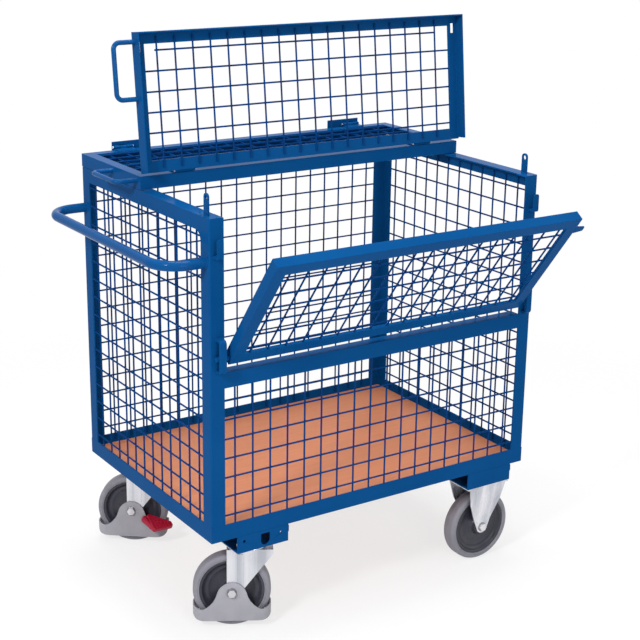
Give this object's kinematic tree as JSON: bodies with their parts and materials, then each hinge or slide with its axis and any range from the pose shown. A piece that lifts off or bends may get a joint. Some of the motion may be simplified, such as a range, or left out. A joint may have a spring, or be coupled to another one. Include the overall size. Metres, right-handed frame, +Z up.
{
  "type": "mesh box trolley",
  "caption": "Blue wire-mesh box trolley with a board floor, a folding mesh lid, a lift-out drop flap, a tubular push handle, and swivel and fixed castors with a brake pedal.",
  "frame": {"origin": "middle of the outer box's underside, on the floor", "axes": "+X along the length, away from the push handle; +Y from the drop flap to the rear; +Z up"},
  "size_m": [1.1124, 0.9594, 1.4837],
  "materials": {
    "blue_steel": "satin powder coat",
    "zinc_steel": "bright zinc",
    "board": "beech decor, matt",
    "tyre_grey": "matt rubber",
    "core_dark": "satin",
    "guard_grey": "satin",
    "pedal_red": "gloss"
  },
  "bodies": {
    "box": {"base_rails": "blue_steel", "floor_board": "board", "posts_front": "blue_steel", "posts_rear": "blue_steel", "top_rail_right": "blue_steel", "top_rail_left": "blue_steel", "top_rail_rear": "blue_steel", "mid_rail_front": "blue_steel", "mesh_right": "blue_steel", "mesh_left": "blue_steel", "mesh_rear": "blue_steel", "mesh_front": "blue_steel", "lock_tabs": "blue_steel", "flap_keepers_lower": "blue_steel", "flap_keepers_upper": "blue_steel", "push_handle": "blue_steel", "handle_screws": "zinc_steel", "rear_hinge_plates": "blue_steel", "rear_hinge_pins": "zinc_steel", "castor_carriers_left": "blue_steel", "castor_carriers_right": "blue_steel", "castor_bolts": "zinc_steel", "castor_nuts": "zinc_steel", "swivel_heads": "zinc_steel", "fixed_fork_front": "zinc_steel", "fixed_fork_rear": "zinc_steel", "fixed_axles": "zinc_steel"},
    "rear_lid": {"rear_lid_frame": "blue_steel", "rear_lid_mesh": "blue_steel", "rear_lid_handle": "blue_steel", "rear_lid_leaves": "blue_steel", "mid_hinge_leaves": "blue_steel", "mid_hinge_pins": "zinc_steel"},
    "front_lid": {"front_lid_frame": "blue_steel", "front_lid_sides": "blue_steel", "front_lid_mesh": "blue_steel", "front_lid_handle": "blue_steel", "front_lid_leaves": "blue_steel"},
    "flap_slider": {"flap_pins": "blue_steel"},
    "flap": {"flap_frame": "blue_steel", "flap_mesh": "blue_steel", "flap_tab": "blue_steel"},
    "castor_front": {"swivel_fork_front": "zinc_steel", "foot_guard_front": "guard_grey", "swivel_axle_front": "zinc_steel"},
    "castor_rear": {"swivel_fork_rear": "zinc_steel", "foot_guard_rear": "guard_grey", "swivel_axle_rear": "zinc_steel", "pedal_pivot": "guard_grey"},
    "pedal": {"brake_pedal": "pedal_red"},
    "swivel_wheel_front": {"swivel_tyre_front": "tyre_grey", "swivel_core_front": "core_dark"},
    "swivel_wheel_rear": {"swivel_tyre_rear": "tyre_grey", "swivel_core_rear": "core_dark"},
    "fixed_wheel_front": {"fixed_tyre_front": "tyre_grey", "fixed_core_front": "core_dark"},
    "fixed_wheel_rear": {"fixed_tyre_rear": "tyre_grey", "fixed_core_rear": "core_dark"}
  },
  "joints": [
    {"name": "rear_lid_hinge", "type": "hinge", "parent": "box", "child": "rear_lid", "pos_m": [0.06125, 0.4395, 1.1375], "axis": [-1, 0, 0], "range_deg": [0, 95]},
    {"name": "front_lid_hinge", "type": "hinge", "parent": "rear_lid", "child": "front_lid", "pos_m": [0.06125, 0.0895, 1.1375], "axis": [-1, 0, 0], "range_deg": [-96, 0]},
    {"name": "flap_lift", "type": "slide", "parent": "box", "child": "flap_slider", "axis": [0, 0, 1], "range_m": [-0.022, 0.035]},
    {"name": "flap_swing", "type": "hinge", "parent": "flap_slider", "child": "flap", "pos_m": [0.06125, -0.2615, 0.758], "axis": [1, 0, 0], "range_deg": [-37, 130]},
    {"name": "swivel_front", "type": "hinge", "parent": "box", "child": "castor_front", "pos_m": [-0.28675, -0.1925, 0.218], "axis": [0, 0, 1], "continuous": true},
    {"name": "swivel_rear", "type": "hinge", "parent": "box", "child": "castor_rear", "pos_m": [-0.28675, 0.3715, 0.218], "axis": [0, 0, 1], "continuous": true},
    {"name": "swivel_wheel_front_spin", "type": "hinge", "parent": "castor_front", "child": "swivel_wheel_front", "pos_m": [-0.32832, -0.1685, 0.1], "axis": [0.5, 0.866, 0], "continuous": true},
    {"name": "swivel_wheel_rear_spin", "type": "hinge", "parent": "castor_rear", "child": "swivel_wheel_rear", "pos_m": [-0.32457, 0.40105, 0.1], "axis": [0.6157, 0.788, 0], "continuous": true},
    {"name": "fixed_wheel_front_spin", "type": "hinge", "parent": "box", "child": "fixed_wheel_front", "pos_m": [0.44225, -0.2045, 0.1], "axis": [0, 1, 0], "continuous": true},
    {"name": "fixed_wheel_rear_spin", "type": "hinge", "parent": "box", "child": "fixed_wheel_rear", "pos_m": [0.44225, 0.3835, 0.1], "axis": [0, 1, 0], "continuous": true},
    {"name": "brake_pedal_press", "type": "hinge", "parent": "castor_rear", "child": "pedal", "pos_m": [-0.31399, 0.34963, 0.078], "axis": [0.6157, 0.788, 0], "range_deg": [0, 15]}
  ]
}
